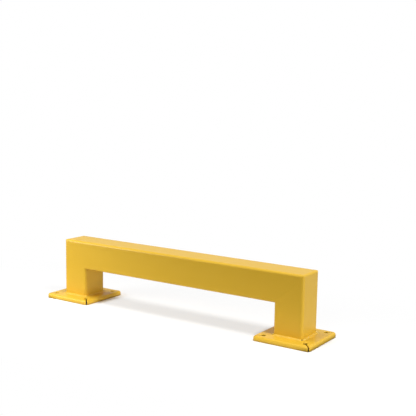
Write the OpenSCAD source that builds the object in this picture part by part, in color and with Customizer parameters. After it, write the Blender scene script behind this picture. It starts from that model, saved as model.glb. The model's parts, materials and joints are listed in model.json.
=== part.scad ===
// Low guard for the foot of a storage rack: a square tube rail on two short posts.
// Each post stands on a formed base plate with anchor holes for the floor.
// Millimetres. X runs along the rail, Z is up, and the origin is on the floor under the middle.

/* [Tube] */
// Outside width of the square tube
tube_w = 101.6; // [80:0.1:130]
// Wall of the tube
tube_wall = 4.8; // [3:0.1:7]
// Outside radius of the tube's long edges
tube_r = 8; // [5:0.5:16]

/* [Frame] */
// Length of the rail over both mitred ends
rail_l = 990; // [500:5:2000]
// Height of the rail's top above the floor
guard_h = 220; // [170:1:1000]
// Radius that the welded outer corners are ground to
corner_r = 8; // [2:0.5:9]

/* [Base plates] */
// Reach of a plate past its post on each side
plate_reach = 48.2; // [42:0.1:80]
// Height of a plate's top above the floor
plate_h = 16; // [12:0.5:30]
// Thickness of the plate's sheet
plate_t = 5; // [3:0.5:6]
// Outside radius of the bends along the plate's edges
bend_r = 7; // [4:0.5:9]
// Corner radius of the plate seen from above
plate_r = 12; // [10:0.5:16]

/* [Anchor holes] */
// Diameter of the anchor holes
hole_d = 16; // [10:0.5:20]
// Distance of each hole's centre from the plate's two nearest edges
hole_inset = 26.5; // [23:0.5:29]
// Width of the slit from each hole out through its corner
slit_w = 4; // [1.5:0.5:6]

/* [Welds] */
// Reach of the foot welds over the plate
weld_run = 7; // [3:0.5:9]
// Height of the foot welds up the post
weld_rise = 4.5; // [3:0.5:9]

/* [Hidden] */
$fn = 64;
paint = [0.89, 0.71, 0.19];
// Overrun of every cutter past the face that it cuts
over = 1;
// The inner radii follow the outer ones, and never vanish
least_r = 0.5;
tube_inner_r = max(tube_r - tube_wall, least_r);
bend_inner_r = max(bend_r - plate_t, least_r);
tube_flat = tube_w - 2 * tube_r;
post_x = (rail_l - tube_w) / 2;
plate_w = tube_w + 2 * plate_reach;
plate_flat = plate_w - 2 * plate_r;
hole_xy = plate_w / 2 - hole_inset;
// The arc of the weld's crown is centred this many legs behind the middle of its face
weld_back = 1.5;

// Square of width w with corners of radius r
module rounded_square(w, r) {
    square([w, w - 2 * r], center = true);
    square([w - 2 * r, w], center = true);
    for (x = [-1, 1], y = [-1, 1]) {
        translate([x, y] * (w / 2 - r)) circle(r);
    }
}

// Cross-section of the square tube
module tube_section() {
    difference() {
        rounded_square(tube_w, tube_r);
        rounded_square(tube_w - 2 * tube_wall, tube_inner_r);
    }
}

// Flat shape drawn in X and Z, carried along Y for a length, centred
module along_y(length) {
    rotate([90, 0, 0]) linear_extrude(height = length, center = true) children();
}

// Everything on one side of the right-hand mitre: side 1 is above the cut, side -1 is below it
module mitre_half(side) {
    reach = tube_w + over;
    corner = side > 0 ? [-reach, over] : [over, -reach];
    translate([rail_l / 2, guard_h]) polygon([[-reach, -reach], [over, over], corner]);
}

// Corner of a square that lies outside the ground radius
module corner_waste() {
    translate([rail_l / 2 - corner_r, guard_h - corner_r]) difference() {
        square(corner_r + over);
        circle(corner_r);
    }
}

// Section of a plate's edge from the corner's centre outwards: flat top, bend and turned-down rim
module edge_section() {
    difference() {
        bend_outline(plate_r, plate_h, bend_r);
        translate([0, -over]) bend_outline(plate_r - plate_t, plate_h - plate_t + over, bend_inner_r);
    }
}

// Rectangle of the given width and height whose far top corner is round
module bend_outline(w, h, r) {
    square([w, h - r]);
    square([w - r, h]);
    translate([w - r, h - r]) intersection() {
        circle(r);
        square(r);
    }
}

// Section of the fillet weld: two legs and a slightly crowned face
module weld_section() {
    legs = [weld_run, weld_rise];
    behind = [weld_rise, weld_run] * weld_back;
    intersection() {
        square(legs);
        translate(legs / 2 - behind) circle(norm([norm(legs) / 2, norm(behind)]));
    }
}

// Carries a section round a square of the given flat width, straight along the sides and turned at the corners
module frame_of(flat, r_inner) {
    for (turn = [0:90:270]) rotate(turn) {
        translate([flat / 2 + r_inner, 0]) along_y(flat) children();
        translate([flat / 2, flat / 2]) rotate_extrude(angle = 90) translate([r_inner, 0]) children();
    }
}

// Post of the right-hand end, from the plate up to the mitre
module post() {
    difference() {
        translate([post_x, 0, plate_h]) linear_extrude(height = guard_h - plate_h) tube_section();
        along_y(tube_w + 2 * over) mitre_half(1);
        along_y(tube_w + 2 * over) corner_waste();
    }
}

// Base plate of the right-hand post: a sheet with all four edges bent down and each corner slit open
module base_plate() {
    translate([post_x, 0]) difference() {
        union() {
            translate([0, 0, plate_h - plate_t]) linear_extrude(height = plate_t) square(plate_flat, center = true);
            frame_of(plate_flat, 0) edge_section();
        }
        for (turn = [0:90:270]) rotate(turn) translate([hole_xy, hole_xy, -over]) {
            cylinder(d = hole_d, h = plate_h + 2 * over);
            rotate(45) translate([0, -slit_w / 2]) cube([plate_w, slit_w, plate_h + 2 * over]);
        }
    }
}

// Fillet weld round the foot of the right-hand post
module foot_weld() {
    translate([post_x, 0, plate_h]) frame_of(tube_flat, tube_r) weld_section();
}

module top_rail() {
    color(paint) difference() {
        translate([0, 0, guard_h - tube_w / 2]) rotate([90, 0, 90])
            linear_extrude(height = rail_l, center = true) tube_section();
        for (end = [0, 1]) mirror([end, 0, 0]) {
            along_y(tube_w + 2 * over) mitre_half(-1);
            along_y(tube_w + 2 * over) corner_waste();
        }
    }
}

module right_post() {
    color(paint) post();
}

module left_post() {
    color(paint) mirror([1, 0, 0]) post();
}

module right_base_plate() {
    color(paint) base_plate();
}

module left_base_plate() {
    color(paint) mirror([1, 0, 0]) base_plate();
}

module right_foot_weld() {
    color(paint) foot_weld();
}

module left_foot_weld() {
    color(paint) mirror([1, 0, 0]) foot_weld();
}

top_rail();
left_post();
right_post();
left_base_plate();
right_base_plate();
left_foot_weld();
right_foot_weld();
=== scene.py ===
# %% [markdown]
# A low rack guard in yellow powder coat
#
# The guard is a weldment: one length of square tube as a rail, two short lengths as posts, and a formed
# plate under each post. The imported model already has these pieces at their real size, so this lesson adds
# what makes them look real: soft edges on the plates, rippled weld beads, ground mitre seams, paint, light
# and the camera. The rail and the posts could be modelled again as well, but their shapes are right as
# they are, so they keep their own meshes.

# %% Load the frame
import json
import math

import bmesh
import bpy
import numpy as np
from mathutils import Matrix, Vector

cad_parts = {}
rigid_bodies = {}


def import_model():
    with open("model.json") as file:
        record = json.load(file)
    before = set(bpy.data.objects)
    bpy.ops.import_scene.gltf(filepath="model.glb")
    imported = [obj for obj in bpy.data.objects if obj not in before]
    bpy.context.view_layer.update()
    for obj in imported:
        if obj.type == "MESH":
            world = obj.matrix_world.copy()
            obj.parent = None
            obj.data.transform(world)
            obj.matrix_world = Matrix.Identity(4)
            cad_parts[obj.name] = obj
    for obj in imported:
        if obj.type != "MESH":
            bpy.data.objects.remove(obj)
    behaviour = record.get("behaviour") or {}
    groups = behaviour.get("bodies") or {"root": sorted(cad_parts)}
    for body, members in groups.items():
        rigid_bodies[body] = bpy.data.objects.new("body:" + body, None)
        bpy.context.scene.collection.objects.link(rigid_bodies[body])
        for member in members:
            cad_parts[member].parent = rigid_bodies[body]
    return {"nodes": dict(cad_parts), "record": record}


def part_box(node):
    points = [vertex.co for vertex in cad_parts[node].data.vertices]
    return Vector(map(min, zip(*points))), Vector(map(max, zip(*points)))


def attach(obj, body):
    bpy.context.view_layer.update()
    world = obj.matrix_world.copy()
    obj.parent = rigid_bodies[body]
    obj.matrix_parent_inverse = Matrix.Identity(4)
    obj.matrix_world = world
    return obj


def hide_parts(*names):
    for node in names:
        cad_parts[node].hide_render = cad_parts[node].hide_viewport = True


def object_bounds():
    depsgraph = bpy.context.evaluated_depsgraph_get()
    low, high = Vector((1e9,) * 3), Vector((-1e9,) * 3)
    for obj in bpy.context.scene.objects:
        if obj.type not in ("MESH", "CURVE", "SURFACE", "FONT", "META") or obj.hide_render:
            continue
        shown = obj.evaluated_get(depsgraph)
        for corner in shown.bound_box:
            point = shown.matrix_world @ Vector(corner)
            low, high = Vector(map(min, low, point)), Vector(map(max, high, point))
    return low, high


for leftover in list(bpy.data.objects):
    bpy.data.objects.remove(leftover)
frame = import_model()
cad_box = [list(corner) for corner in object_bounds()]
print("nodes:", sorted(frame["nodes"]))
print("box in metres:", cad_box)

# %% [markdown]
# Places that the pieces share
#
# Every new piece runs round a post or stands under one, so a few places come up again and again: the
# tube's width, where the posts stand, and the top of the plates. They could be typed in, but then a
# changed model would leave this script behind. So they are read from the frame, in metres.

# %% Shared places
MM = 0.001

post_low, post_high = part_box("right_post")
plate_low, plate_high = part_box("right_base_plate")
tube_w = post_high.y - post_low.y
post_x = (post_low.x + post_high.x) / 2
plate_top = plate_high.z
print(f"tube {tube_w:.4f}, posts at x {post_x:.4f}, top of the plates {plate_top:.4f}")

# %% [markdown]
# From arrays to a mesh
#
# Every new piece is a grid of points: rows run across the piece and columns run along it. Such pieces
# could be pushed and pulled by hand from a cube, but a formula puts each point in its exact place and is
# easy to change later. One helper numbers the four corners of each cell of a grid, and can close the grid
# into a ring both ways. The next one puts grids into one mesh, merges the points that they share, and
# turns all faces outwards. It merges first, because only a closed skin tells Blender which side is out.

# %% Cells of a grid
def grid_cells(rows, cols, closed=False):
    """Corner numbers of each cell, where point (row, col) has the number row * cols + col.

    In words: a cell joins a point to the next one in its row, and both to the points in the next row. In a
    closed grid, the last row and column go on to the first.
    """
    starts = [np.arange(count if closed else count - 1) for count in (rows, cols)]
    row, col = np.meshgrid(*starts, indexing="ij")
    next_row, next_col = (row + 1) % rows, (col + 1) % cols
    corners = ((row, col), (row, next_col), (next_row, next_col), (next_row, col))
    return np.stack([r * cols + c for r, c in corners], axis=-1).reshape(-1, 4)


open_count, closed_count = len(grid_cells(3, 4)), len(grid_cells(3, 4, closed=True))
print(f"a grid of 3 by 4 points has {open_count} cells, or {closed_count} when it is closed")

# %% Mesh from grids
MERGE_WITHIN = 0.001 * MM


def mesh_piece(name, grids, closed=False):
    """Makes one object from grids of points, each an array of rows x columns x 3, and says what it made."""
    sizes = [grid.shape[:2] for grid in grids]
    firsts = np.cumsum([0] + [rows * cols for rows, cols in sizes[:-1]])
    points = np.concatenate([grid.reshape(-1, 3) for grid in grids])
    cells = np.concatenate([grid_cells(*size, closed) + first for size, first in zip(sizes, firsts)])
    mesh = bpy.data.meshes.new(name)
    mesh.from_pydata(points, [], cells)
    work = bmesh.new()
    work.from_mesh(mesh)
    bmesh.ops.remove_doubles(work, verts=work.verts, dist=MERGE_WITHIN)
    bmesh.ops.recalc_face_normals(work, faces=work.faces)
    open_edges = sum(not edge.is_manifold for edge in work.edges)
    work.to_mesh(mesh)
    work.free()
    mesh.shade_smooth()
    piece = bpy.data.objects.new(name, mesh)
    bpy.context.scene.collection.objects.link(piece)
    print(f"{name}: {len(mesh.vertices)} points, {len(mesh.polygons)} faces, {open_edges} open edges")
    return piece


# %% [markdown]
# The outline of a square tube
#
# A square tube is formed from a round one, so its long edges stay round. Both kinds of weld run along its
# outline: a straight side, then a quarter circle, four times over. A curve object could draw that, but
# the welds need the outward direction at every point too. Written with clipped lengths, one formula gives
# both for the sides and the corners alike, and whole arrays go through it at once.

# %% Outline of the tube
TUBE_R = 8 * MM
tube_flat = tube_w - 2 * TUBE_R
tube_side = tube_flat + TUBE_R * math.pi / 2
tube_girth = 4 * tube_side


def tube_outline(along):
    """Point and outward direction in plan at a length along the outline, from the start of its +X side.

    In words: turn to the side that the length falls on, go out to the line of the corner circles' centres,
    slide along it by the straight part of the length, and swing round the circle by what is left over.
    """
    side = np.floor(along / tube_side) * math.pi / 2
    rest = np.mod(along, tube_side)
    slide = np.clip(rest, 0, tube_flat) - tube_flat / 2
    swing = side + np.clip((rest - tube_flat) / TUBE_R, 0, math.pi / 2)
    normal = np.stack([np.cos(swing), np.sin(swing)], axis=-1)
    out = np.stack([np.cos(side), np.sin(side)], axis=-1) * tube_flat / 2
    beside = np.stack([-np.sin(side), np.cos(side)], axis=-1) * slide[..., None]
    return out + beside + TUBE_R * normal, normal


def stops_round_tube(count):
    """Evenly spaced lengths along the outline, and the same as angles of a full turn."""
    share = np.arange(count) / count
    return share * tube_girth, share * 2 * math.pi


print(f"once round the tube is {tube_girth:.4f} m")

# %% [markdown]
# Fillet welds at the feet
#
# A fillet weld is laid by hand in short pushes, and each push leaves a crescent on the last one. The bead
# is a profile carried round the post: a crowned triangle, swollen and pinched by a ripple that lags in the
# middle of the bead, so that the crescents curve. Slower waves stand for the welder's hand, and one dip is
# the crater where the bead was started and stopped. The two legs sink a little into the post and the
# plate, so no edge of the bead hovers. A bump map could fake the ripple, but real shape also changes the
# bead's outline and the way that it catches light.

# %% Sizes of a bead
RIPPLE_PITCH = 3.2 * MM

weld_low, weld_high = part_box("right_foot_weld")
weld_rise = weld_high.z - weld_low.z
weld_run = weld_high.y - post_high.y
ripples = round(tube_girth / RIPPLE_PITCH)
print(f"a bead reaches {weld_run:.4f} m over the plate, rises {weld_rise:.4f} m and has {ripples} ripples")

# %% Waves and heights
BEAD_WAVES = ((5, 0.05, 0.4), (9, 0.035, 1.9), (17, 0.02, 3.1))


def hand_waves(turn, waves):
    """A hand's unsteadiness: a sum of sine waves, each with a count in one turn, a size and a start."""
    return sum(size * np.sin(count * turn + start) for count, size, start in waves)


def at_height(plan, height):
    """Adds heights as a third coordinate to points in plan."""
    height = np.broadcast_to(height, plan.shape[:-1])
    return np.concatenate([plan, height[..., None]], axis=-1)


sway = hand_waves(stops_round_tube(ripples)[1], BEAD_WAVES)
print(f"the hand makes a bead up to {sway.max():.1%} larger and {-sway.min():.1%} smaller")

# %% Shape of a bead
RIPPLE_POINTS = 8
RIPPLE_DEPTH = 0.055
RIPPLE_MEAN = 0.64
RIPPLE_LAG = 1.1
BEAD_ROWS = 13
CRATER_DEPTH = 0.6
CRATER_WIDTH = 2.6 * MM
CROWN_POWER = 1.5
LEG_SINK = 0.35 * MM


def weld_bead(center_x, crater_at):
    """Points of a bead: across it an angle from plate to post, along it the length round the post.

    In words: with c and s for the angle's cosine and sine and p for the crown's power, the distance from
    the weld's root is 1 / (c^p + s^p)^(1/p), which is flat for p = 1 and round for p = 2. The ripple, the
    slow waves and the crater scale it, and the weld's run and rise stretch it. The last row closes the
    bead inside the steel.
    """
    along, turn = stops_round_tube(ripples * RIPPLE_POINTS)
    lean = np.linspace(0, math.pi / 2, BEAD_ROWS)[:, None]
    middle = np.sin(2 * lean)
    ripple = np.abs(np.sin(ripples * turn / 2 + RIPPLE_LAG * middle)) - RIPPLE_MEAN
    past = np.abs(np.mod(along - crater_at + tube_girth / 2, tube_girth) - tube_girth / 2)
    crater = CRATER_DEPTH * np.exp(-((past / CRATER_WIDTH) ** 2))
    swell = 1 + hand_waves(turn, BEAD_WAVES) - crater + RIPPLE_DEPTH * middle * ripple
    crown = (np.cos(lean) ** CROWN_POWER + np.sin(lean) ** CROWN_POWER) ** (-1 / CROWN_POWER)
    root = np.full_like(along, -2 * LEG_SINK)
    out = np.vstack([weld_run * swell * crown * np.cos(lean) - LEG_SINK, root])
    up = np.vstack([weld_rise * swell * crown * np.sin(lean) - LEG_SINK, root])
    foot, normal = tube_outline(along)
    plan = foot + out[..., None] * normal + np.array([center_x, 0.0])
    return at_height(plan, plate_top + up)


# %% Bead pieces
ENDS = (("right", 1), ("left", -1))
BACK_SHARE = 0.4
PIT_OUT = 0.2
PIT_UP = 0.15


def crater_pit(center_x, crater_at):
    """The bottom of a crater: a share of the bead out from the post's foot and up from the plate."""
    foot, normal = tube_outline(np.array(crater_at))
    x, y = foot + PIT_OUT * weld_run * normal
    return center_x + x, y, plate_top + PIT_UP * weld_rise


craters = {"right": tube_girth - TUBE_R * math.pi / 4, "left": BACK_SHARE * tube_girth}
# Places for a dark spot of painted shade at the bottom of each bead's crater
crater_shade_places = []
weld_pieces = []
for side, sign in ENDS:
    points = weld_bead(sign * post_x, craters[side])
    bead = mesh_piece(f"{side}_weld_bead", [points], closed=True)
    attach(bead, "root")
    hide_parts(f"{side}_foot_weld")
    weld_pieces.append(bead)
    crater_shade_places.append(crater_pit(sign * post_x, craters[side]))

# %% [markdown]
# Ground seams at the mitres
#
# The rail and the posts are joined by butt welds that are ground back until they barely show. What is left
# is a low, slightly uneven swelling, a few millimetres wide, all the way round the joint. It could be left
# out, but a joint without any trace looks moulded, not welded. Each point of the tube's outline follows
# its own path up the post, round the corner and along the rail, so the seam is a strip of those paths,
# lifted by about a tenth of a millimetre. It gets the same paint as the tube.

# %% Path round a corner
def corner_path(length, radius):
    """A path that comes up, turns through a quarter circle and leaves towards -X: x, z and its normal.

    In words: a length of 0 is the middle of the turn. The swing is the length over the radius, held
    between the two ends of the quarter circle, and what is left over runs straight down or along.
    """
    swing = np.clip(length / radius + math.pi / 4, 0, math.pi / 2)
    spare = length - radius * (swing - math.pi / 4)
    x = radius * (np.cos(swing) - 1) - np.maximum(spare, 0)
    z = radius * (np.sin(swing) - 1) + np.minimum(spare, 0)
    return x, z, np.cos(swing), np.sin(swing)


# %% Shape of a seam
CORNER_R = 8 * MM
INNER_FILLET = 2 * MM
SEAM_REACH = 9 * MM
SEAM_RISE = 0.12 * MM
SEAM_SINK = 0.4 * MM
SEAM_ROOT = 1.6 * MM
SEAM_ROWS = 21
SEAM_STOPS = 480
SEAM_WAVES = ((7, 0.25, 0.0), (19, 0.15, 0.0))

guard_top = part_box("top_rail")[1].z


def mitre_seam():
    """Points of the right-hand seam: across it the length from post to rail, along it the tube's outline.

    In words: the outline's point sits on its own corner path, whose radius grows from the inside of the
    corner to its outside, and is lifted along the outline's normal, which turns with that path. The lift
    is a smooth hump that ends under the surface on both sides, and the last row closes it in the steel.
    """
    along, turn = stops_round_tube(SEAM_STOPS)
    across = np.linspace(-1, 1, SEAM_ROWS)[:, None]
    outline, normal = tube_outline(along)
    radius = INNER_FILLET + (CORNER_R - INNER_FILLET) * (0.5 + outline[:, 0] / tube_w)
    path = corner_path(across * SEAM_REACH, radius)
    x, z, turn_x, turn_z = (np.vstack([part, part[SEAM_ROWS // 2]]) for part in path)
    rise = SEAM_RISE * (1 + hand_waves(turn, SEAM_WAVES)) + SEAM_SINK
    lift = np.vstack([rise * (1 - across**2) ** 2 - SEAM_SINK, np.full_like(along, -SEAM_ROOT)])
    seam_x = post_x + outline[:, 0] + x + lift * normal[:, 0] * turn_x
    seam_y = outline[:, 1] + lift * normal[:, 1]
    seam_z = guard_top - tube_w / 2 + outline[:, 0] + z + lift * normal[:, 0] * turn_z
    return np.stack([seam_x, seam_y, seam_z], axis=-1)


right_seam = mitre_seam()
shown_share = math.sqrt(1 - math.sqrt(SEAM_SINK / (SEAM_RISE + SEAM_SINK)))
print(f"about {2 * SEAM_REACH * shown_share:.4f} m of a seam's width stands out of the steel")

# %% Seam pieces
def about_z(points, quarters):
    """The same points turned by whole quarter turns about Z."""
    c, s = round(math.cos(quarters * math.pi / 2)), round(math.sin(quarters * math.pi / 2))
    return points @ np.array([[c, s, 0], [-s, c, 0], [0, 0, 1]], dtype=float)


painted_pieces = []
for side, points in (("right", right_seam), ("left", about_z(right_seam, 2))):
    strip = mesh_piece(f"{side}_mitre_seam", [points], closed=True)
    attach(strip, "root")
    painted_pieces.append(strip)

# %% [markdown]
# Formed base plates
#
# Each plate is a sheet whose four edges are bent down. The corners are slit open from the anchor hole
# outwards, so the bends can be made without folding the corners over themselves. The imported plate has
# knife-sharp edges at the holes and slits, which paint never has. Its mesh is loose triangles, long and
# thin, on which a bevel pinches, so the plate is built again as grids and bevelled.
#
# One quarter of the plate holds one hole. Its flat part is a fan: every column runs from the hole's edge
# to the end of the flat. Its rim is a profile carried along the edge, from the slit round half the corner
# and along half a side. Mirrored over the diagonal and turned four times, the quarter makes the whole
# plate. The column next to a slit keeps a little more than the bevel's width away, so the bevel has room.

# %% Section of the rim
SHEET_T = 5 * MM
BEND_R = 7 * MM
PLATE_R = 12 * MM
BEND_STEPS = 8
LEG_STEPS = 3
flat_r = PLATE_R - BEND_R


def rim_profile():
    """The rim's section from top to floor, as distances from the corner's centre and heights.

    In words: a quarter circle about the bend's centre, then straight down, once outside and once inside.
    """
    radii = (BEND_R, BEND_R - SHEET_T)
    bend_z = plate_top - BEND_R
    lean = np.linspace(0, math.pi / 2, BEND_STEPS + 1)
    legs = np.linspace(bend_z, 0, LEG_STEPS + 1)[1:]
    reaches = [flat_r + np.concatenate([r * np.sin(lean), np.full(LEG_STEPS, r)]) for r in radii]
    heights = [np.concatenate([bend_z + r * np.cos(lean), legs]) for r in radii]
    return np.array(reaches), np.array(heights)


print("points down the rim, outside and inside:", rim_profile()[0].shape)

# %% Edge of the plate in plan
SLIT_W = 4 * MM
BEVEL_ROOM = 1.2 * MM
ARC_STEPS = 5
SIDE_STEPS = 8
plate_half = (plate_high.y - plate_low.y) / 2
corner_center = plate_half - PLATE_R


def edge_line(reach):
    """Points of the plate's edge at a distance from the corner's centre, from the slit to mid-side.

    In words: the corner's arc starts where it meets the slit's wall, at the angle whose cosine is half the
    slit's width over the distance, and ends at the side. The side then runs straight to its middle.
    """
    start = np.arccos(SLIT_W / 2 / reach)[..., None] - math.pi / 4
    after_bevel = 1 - BEVEL_ROOM / (reach[..., None] * start)
    steps = np.concatenate([np.ones_like(start), after_bevel * np.linspace(1, 0, ARC_STEPS)], axis=-1)
    swing = start * steps
    arc = corner_center + reach[..., None, None] * np.stack([np.cos(swing), np.sin(swing)], axis=-1)
    down = corner_center * np.linspace(1, 0, SIDE_STEPS + 1)[1:]
    side_x = np.broadcast_to((corner_center + reach)[..., None], reach.shape + down.shape)
    side = np.stack([side_x, np.broadcast_to(down, side_x.shape)], axis=-1)
    return np.concatenate([arc, side], axis=-2)


print("points from a slit to the middle of a side:", len(edge_line(np.array(PLATE_R))))

# %% Flat of one quarter
FAN_ROWS = 7
anchors = next(m for m in frame["record"]["mounts"] if m["name"] == "right_anchors")["dims"]
hole_r = anchors["hole_r_mm"] * MM
hole_xy = anchors["spacing_x_mm"] * MM / 2


def quarter_flat():
    """Plan of the flat: a fan of columns round the hole, from one wall of the slit to the other.

    In words: a point lies a share of the way from the hole's circle to a loop round the quarter. The loop
    runs along the edge to mid-side, in to the plate's middle, and back mirrored over the diagonal.
    """
    half_edge = edge_line(np.array(flat_r))
    inwards = np.linspace(half_edge[-1], [0.0, 0.0], SIDE_STEPS + 1)[1:]
    half_loop = np.concatenate([half_edge, inwards])
    loop = np.concatenate([half_loop, half_loop[-2::-1, ::-1]])
    slit_turn = math.asin(SLIT_W / 2 / hole_r)
    swing = math.pi / 4 - np.linspace(slit_turn, 2 * math.pi - slit_turn, len(loop))
    hole_edge = hole_xy + hole_r * np.stack([np.cos(swing), np.sin(swing)], axis=-1)
    share = np.linspace(0, 1, FAN_ROWS)[:, None, None]
    return hole_edge + (loop - hole_edge) * share


print(f"hole of radius {hole_r:.4f} at {hole_xy:.4f}, with a fan of {quarter_flat().shape[1]} columns")

# %% One quarter of the plate
def over_diagonal(points):
    """The same points mirrored over the plate's diagonal, which swaps X and Y."""
    return points[..., [1, 0, 2]]


def quarter_plate():
    """The grids of one quarter: the flat's top and underside, the walls of hole and slit, and both rims.

    In words: a rim's point is a point of its section, carried along the edge line. A wall is a strip
    between matching points above and below, or outside and inside.
    """
    reach, height = rim_profile()
    outside, inside = (at_height(edge_line(r), h[:, None]) for r, h in zip(reach, height))
    rim = np.concatenate([outside, inside[::-1]])
    rim_end = np.stack([outside[:, 0], inside[:, 0]])
    fan = quarter_flat()
    top, under = at_height(fan, plate_top), at_height(fan, plate_top - SHEET_T)
    hole_wall = np.stack([top[0], under[0]])
    slit_walls = [np.stack([top[:, end], under[:, end]]) for end in (0, -1)]
    return [top, under, hole_wall, *slit_walls, rim, over_diagonal(rim), rim_end, over_diagonal(rim_end)]


quarter = quarter_plate()
print("grids in one quarter:", len(quarter))

# %% Plate pieces
EDGE_SOFT = 1.0 * MM
EDGE_SEGMENTS = 3
SHARP_ANGLE = math.radians(40)

for side, sign in ENDS:
    place = np.array([sign * post_x, 0, 0])
    turned = [about_z(points, step) + place for step in range(4) for points in quarter]
    plate = mesh_piece(f"{side}_formed_plate", turned)
    plate.data.set_sharp_from_angle(angle=SHARP_ANGLE)
    soften = plate.modifiers.new("soft edges", "BEVEL")
    soften.width = EDGE_SOFT
    soften.segments = EDGE_SEGMENTS
    soften.limit_method = "ANGLE"
    soften.angle_limit = SHARP_ANGLE
    soften.harden_normals = True
    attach(plate, "root")
    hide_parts(f"{side}_base_plate")
    painted_pieces.append(plate)

# %% [markdown]
# A small language for shaders
#
# A finish is a graph of nodes, and it could be wired link by link. Sums are easier to read, so the class
# below wraps one output socket and turns +, - and * into Math nodes. Its method `node` adds any other kind
# of node: settings first, then the values or links of its sockets. Colours don't go through Math nodes,
# which would turn them grey: `blend` mixes two of them.

# %% Shader helper
class Wire:
    """One output socket of a material's node tree, with arithmetic."""

    def __init__(self, tree, socket=None):
        self.tree = tree
        self.socket = socket

    def node(self, kind, settings=None, sockets=None, output=0):
        """Adds a node, sets it up, fills its sockets by name or number, and returns one of its outputs."""
        made = self.tree.nodes.new(kind)
        for name, value in (settings or {}).items():
            setattr(made, name, value)
        for name, value in (sockets or {}).items():
            if isinstance(value, Wire):
                self.tree.links.new(value.socket, made.inputs[name])
            else:
                made.inputs[name].default_value = value
        return Wire(self.tree, made.outputs[output] if made.outputs else None)

    def math(self, operation, first, second):
        """Adds a Math node for two values or wires."""
        return self.node("ShaderNodeMath", {"operation": operation}, {0: first, 1: second})

    def vector(self, operation, *others, output="Vector"):
        """Adds a Vector Math node for this wire and, where the operation needs it, another vector."""
        sockets = dict(enumerate((self, *others)))
        return self.node("ShaderNodeVectorMath", {"operation": operation}, sockets, output)

    def __add__(self, other):
        return self.math("ADD", self, other)

    def __radd__(self, other):
        return self.math("ADD", other, self)

    def __sub__(self, other):
        return self.math("SUBTRACT", self, other)

    def __rsub__(self, other):
        return self.math("SUBTRACT", other, self)

    def __mul__(self, other):
        return self.math("MULTIPLY", self, other)

    def blend(self, low, high):
        """Mixes two colours by this value. A Mix node has them at sockets 6 and 7, and at output 2."""
        sockets = {"Factor": self, 6: low, 7: high}
        return self.node("ShaderNodeMix", {"data_type": "RGBA"}, sockets, output=2)

    def fade(self, start, end):
        """1 up to the start, and smoothly down to 0 at the end."""
        sockets = {"Value": self, "From Min": start, "From Max": end, "To Min": 1.0, "To Max": 0.0}
        return self.node("ShaderNodeMapRange", {"interpolation_type": "SMOOTHSTEP"}, sockets)


# %% Empty material
def new_material(name):
    """An empty material and a Wire on its node tree."""
    material = bpy.data.materials.new(name)
    material.use_nodes = True
    material.node_tree.nodes.clear()
    print("material:", name)
    return material, Wire(material.node_tree)


# %% [markdown]
# Yellow powder coat
#
# Powder coat melts into a thick, even skin. It has three kinds of detail: a fine orange peel that breaks
# up reflections, a slow drift in gloss, and a very slight drift in colour where the film is thicker. Two
# marks of painted shade come on top: the lowest millimetres of the rims are painted darker towards the
# floor, and the bottom of each bead's crater gets a dark spot. A picture of paint could be wrapped round
# each piece, but noise on Object coordinates has the same scale everywhere and no seams. On the beads the
# film is rougher, and their crests catch more light.

# %% Powder coat
DEEP_YELLOW = (0.735, 0.447, 0.031, 1.0)
LIGHT_YELLOW = (0.775, 0.480, 0.039, 1.0)
# Each noise has so many bumps to the metre, and so many finer layers
COLOUR_DRIFT = (5.0, 3.0)
GLOSS_DRIFT = (30.0, 4.0)
ORANGE_PEEL = (420.0, 2.0)
GLOSS_SPREAD = 0.16
PEEL_DEPTH = 0.4 * MM
# Painted shade at the foot of the rims: its colour, how high it reaches and how strong it is
RIM_SHADE_BROWN = (0.30, 0.17, 0.02, 1.0)
RIM_SHADE_H = 8 * MM
RIM_SHADE_SHARE = 0.75
# Painted shade in the bead craters: its colour and radius
CRATER_SHADE_BROWN = (0.06, 0.035, 0.01, 1.0)
CRATER_SHADE_R = 3.2 * MM


def powder_coat(name, roughness, shine, peel, shaded_pits=()):
    """Painted steel: mean roughness, strength of reflections and of the peel, and pits with painted shade.
    """
    material, paint = new_material(name)
    place = paint.node("ShaderNodeTexCoord", output="Object")

    def noise(per_metre, detail):
        """A drift from 0 to 1."""
        return paint.node("ShaderNodeTexNoise", {}, {"Vector": place, "Scale": per_metre, "Detail": detail})

    colour = noise(*COLOUR_DRIFT).blend(DEEP_YELLOW, LIGHT_YELLOW)
    height = paint.node("ShaderNodeSeparateXYZ", {}, {"Vector": place}, output="Z")
    # Painted shade: the rims get darker over their lowest millimetres towards the floor
    colour = (height.fade(0.0, RIM_SHADE_H) * RIM_SHADE_SHARE).blend(colour, RIM_SHADE_BROWN)
    # Painted shade: a dark spot at the bottom of each bead's crater
    for pit in shaded_pits:
        away = place.vector("DISTANCE", pit, output="Value")
        colour = away.fade(CRATER_SHADE_R / 2, CRATER_SHADE_R).blend(colour, CRATER_SHADE_BROWN)
    gloss = roughness + (noise(*GLOSS_DRIFT) - 0.5) * GLOSS_SPREAD
    bumps = {"Strength": peel, "Distance": PEEL_DEPTH, "Height": noise(*ORANGE_PEEL)}
    skin = paint.node("ShaderNodeBump", {}, bumps)
    film = {"Base Color": colour, "Roughness": gloss, "Normal": skin, "Specular IOR Level": shine}
    coat = paint.node("ShaderNodeBsdfPrincipled", {}, film)
    paint.node("ShaderNodeOutputMaterial", {}, {"Surface": coat})
    return material


# %% Paint the pieces
paint_finish = powder_coat("yellow_powder_coat", roughness=0.36, shine=0.25, peel=0.10)
weld_finish = powder_coat("painted_weld_bead", roughness=0.42, shine=0.5, peel=0.18, shaded_pits=crater_shade_places)
for name in ("top_rail", "left_post", "right_post"):
    frame["nodes"][name].data.materials[0] = paint_finish
for piece in painted_pieces:
    piece.data.materials.append(paint_finish)
for piece in weld_pieces:
    piece.data.materials.append(weld_finish)
print("painted:", [piece.name for piece in painted_pieces + weld_pieces])

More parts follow.
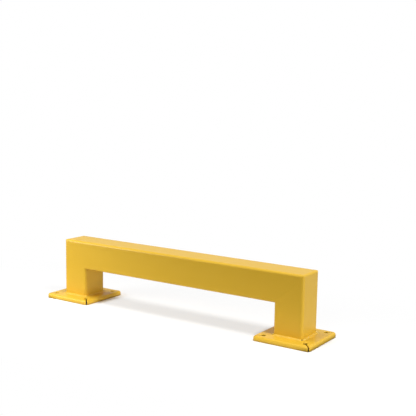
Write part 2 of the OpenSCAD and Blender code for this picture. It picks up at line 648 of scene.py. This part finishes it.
# %% [markdown]
# Floor and surroundings
#
# The guard stands on white paper. A plain white sheet would turn grey away from the lamps, so the camera
# sees a floor that is mostly its own light, and that takes a soft shadow near the guard. To the rays that
# carry light from surface to surface, it is a sheet of paper that ends a little way past the guard on a
# darker floor, so the feet catch more of the bounced light than the rail does.
# Beside the two outer rims it is dark to those rays too, so these rims darken towards the floor. To mirror
# rays it ends a little way in front, so the foot of the front face looks paler than the rail. Under the
# plates it is dark to all rays, so a slit looks into the dark. The world is white where it is seen, a
# little dimmer in a mirror, and a gentle fill where it only lights the guard.

# %% Rays and distances
ORIGIN = (0.0, 0.0, 0.0)


def ray_kinds(wire):
    """Two values: 1 for rays from the camera or through glass, and 1 for mirror rays.

    In words: both are 0 for the rays that carry diffuse light.
    """
    kinds = ("Is Camera Ray", "Is Transmission Ray", "Is Glossy Ray")
    camera_ray, glass_ray, mirror_ray = (wire.node("ShaderNodeLightPath", output=kind) for kind in kinds)
    return wire.math("MINIMUM", camera_ray + glass_ray, 1.0), mirror_ray


def close_to(place, center, half, reach):
    """1 inside a rectangle and its mirror image across X, fading to 0 at a distance outside it.

    In words: fold the place over to positive X and Y, measure how far it lies past the rectangle's sides,
    and fade by the length of that.
    """
    offset = place.vector("ABSOLUTE").vector("SUBTRACT", center).vector("ABSOLUTE")
    outside = offset.vector("SUBTRACT", half).vector("MAXIMUM", ORIGIN)
    return outside.vector("LENGTH", output="Value").fade(0.0, reach)


# %% White paper
WHITE = (1.0, 1.0, 1.0, 1.0)
WHITE_PAPER = (0.95, 0.95, 0.95, 1.0)
DARK_FLOOR = (0.08, 0.08, 0.08, 1.0)
SHEET_REACH = 0.25
END_REACH = 0.06
SHADOW_REACH = 0.6
SHADOW_SHARE = 0.35
CONTACT_REACH = 0.04
MIRROR_REACH = 0.5


def white_floor():
    """White paper whose shading fades into plain white away from the guard."""
    material, paper = new_material("white_paper")
    place = paper.node("ShaderNodeTexCoord", output="Object")
    post_foot = (post_x, 0.0, 0.0)
    outer_rim = (post_x + plate_half, 0.0, 0.0)
    inside = plate_half - SHEET_T
    under_plates = close_to(place, post_foot, (inside, inside, 0.0), SHEET_T)
    at_plates = close_to(place, post_foot, (plate_half, plate_half, 0.0), CONTACT_REACH)
    at_ends = close_to(place, outer_rim, (0.0, plate_half, 0.0), END_REACH)
    at_guard = close_to(place, ORIGIN, cad_box[1], SHADOW_REACH)
    sheet = close_to(place, ORIGIN, cad_box[1], SHEET_REACH) * (1 - at_ends)
    depth = paper.node("ShaderNodeSeparateXYZ", {}, {"Vector": place}, output="Y")
    short_of_edge = (0 - depth).fade(plate_half, plate_half + MIRROR_REACH)
    seen, mirrored = ray_kinds(paper)
    pale = (1 - under_plates) * (sheet + seen * (1 - sheet))
    unshaded = 1 - at_guard * SHADOW_SHARE - at_plates * (1 - SHADOW_SHARE)
    own_light = (seen + mirrored * short_of_edge) * unshaded
    shaded = paper.node("ShaderNodeBsdfDiffuse", {}, {"Color": pale.blend(DARK_FLOOR, WHITE_PAPER)})
    glow = paper.node("ShaderNodeEmission", {}, {"Color": WHITE, "Strength": 1.0})
    mixed = paper.node("ShaderNodeMixShader", {}, {"Fac": own_light, 1: shaded, 2: glow})
    paper.node("ShaderNodeOutputMaterial", {}, {"Surface": mixed})
    return material


# %% Floor
FLOOR_HALF = 6.0

floor_rows = [[[x, y, 0.0] for x in (-FLOOR_HALF, FLOOR_HALF)] for y in (-FLOOR_HALF, FLOOR_HALF)]
floor = mesh_piece("floor", [np.array(floor_rows)])
floor.data.materials.append(white_floor())

# %% World
FILL_LIGHT = 0.12
MIRROR_LIGHT = 0.75

world = bpy.data.worlds.new("white_room")
world.use_nodes = True
world.node_tree.nodes.clear()
room = Wire(world.node_tree)
seen, mirrored = ray_kinds(room)
strength = FILL_LIGHT + seen * (1 - FILL_LIGHT) + mirrored * (MIRROR_LIGHT - FILL_LIGHT)
sky = room.node("ShaderNodeBackground", {}, {"Color": WHITE, "Strength": strength})
room.node("ShaderNodeOutputWorld", {}, {"Surface": sky})
bpy.context.scene.world = world
print("the world is white, and lights the guard at a strength of", FILL_LIGHT)

# %% [markdown]
# Studio light
#
# A picture of a room could light the guard, but lamps are easier to steer. Six soft boxes share the work.
# The key box stands close to the left end, so the front face fades from left to right. One box hangs over
# the guard and one over its right side, and they light the top faces and the plates. A large box fills the
# front from far away, a low one brightens the right-hand end, and a low one behind keeps the far side
# readable.

# %% Lights
GUARD_MIDDLE = (0.0, 0.0, 0.1)
LEFT_POST_FRONT = (-0.45, -0.05, 0.12)
RIGHT_POST_MIDDLE = (0.45, 0.0, 0.1)


def soft_box(name, place, target, size, watts):
    """A square area lamp at a place, turned towards a target."""
    lamp = bpy.data.lights.new(name, "AREA")
    lamp.shape = "SQUARE"
    lamp.size = size
    lamp.energy = watts
    holder = bpy.data.objects.new(name, lamp)
    holder.location = place
    holder.rotation_euler = (Vector(target) - Vector(place)).to_track_quat("-Z", "Y").to_euler()
    bpy.context.scene.collection.objects.link(holder)
    print(f"{name}: {watts} W, {size} m wide")


soft_box("key_box", (-1.05, -0.75, 0.50), LEFT_POST_FRONT, size=0.5, watts=8.5)
soft_box("top_box", (-0.2, -0.12, 3.0), GUARD_MIDDLE, size=0.8, watts=38.5)
soft_box("right_box", (2.0, -0.3, 3.0), GUARD_MIDDLE, size=0.8, watts=55.0)
soft_box("front_box", (0.8, -3.0, 1.2), GUARD_MIDDLE, size=2.0, watts=23.5)
soft_box("back_box", (0.4, 2.6, 0.3), GUARD_MIDDLE, size=0.8, watts=9.0)
soft_box("low_box", (1.3, -0.2, 0.15), RIGHT_POST_MIDDLE, size=0.4, watts=3.2)

# %% [markdown]
# Camera
#
# The camera stands to the right of the guard's front and looks slightly down. It could be placed by eye,
# but its place and lens were found by matching the guard's long edges to the picture, which also gave a
# turn of one degree about its own axis. Three unit vectors make its rotation: to its right, up, and back
# from what it looks at.

# %% Camera
IMAGE_PX = 416
FOCAL_PX = 788.45
SENSOR_MM = 36.0
AZIMUTH = math.radians(33.576)
ELEVATION = math.radians(7.971)
ROLL = math.radians(0.96)
EYE = Vector((1.5424, -2.1624, 0.7493))

level_share = math.cos(ELEVATION)
back = Vector((math.sin(AZIMUTH) * level_share, -math.cos(AZIMUTH) * level_share, math.sin(ELEVATION)))
level = Vector((math.cos(AZIMUTH), math.sin(AZIMUTH), 0.0))
above = back.cross(level)
right = level * math.cos(ROLL) + above * math.sin(ROLL)
up = above * math.cos(ROLL) - level * math.sin(ROLL)
lens = bpy.data.cameras.new("camera")
lens.sensor_width = SENSOR_MM
lens.lens = SENSOR_MM * FOCAL_PX / IMAGE_PX
camera = bpy.data.objects.new("camera", lens)
camera.matrix_world = Matrix.Translation(EYE) @ Matrix((right, up, back)).transposed().to_4x4()
bpy.context.scene.collection.objects.link(camera)
bpy.context.scene.camera = camera
bpy.context.scene.view_settings.view_transform = "Standard"
print(f"lens {lens.lens:.1f} mm at {tuple(round(c, 3) for c in EYE)}")
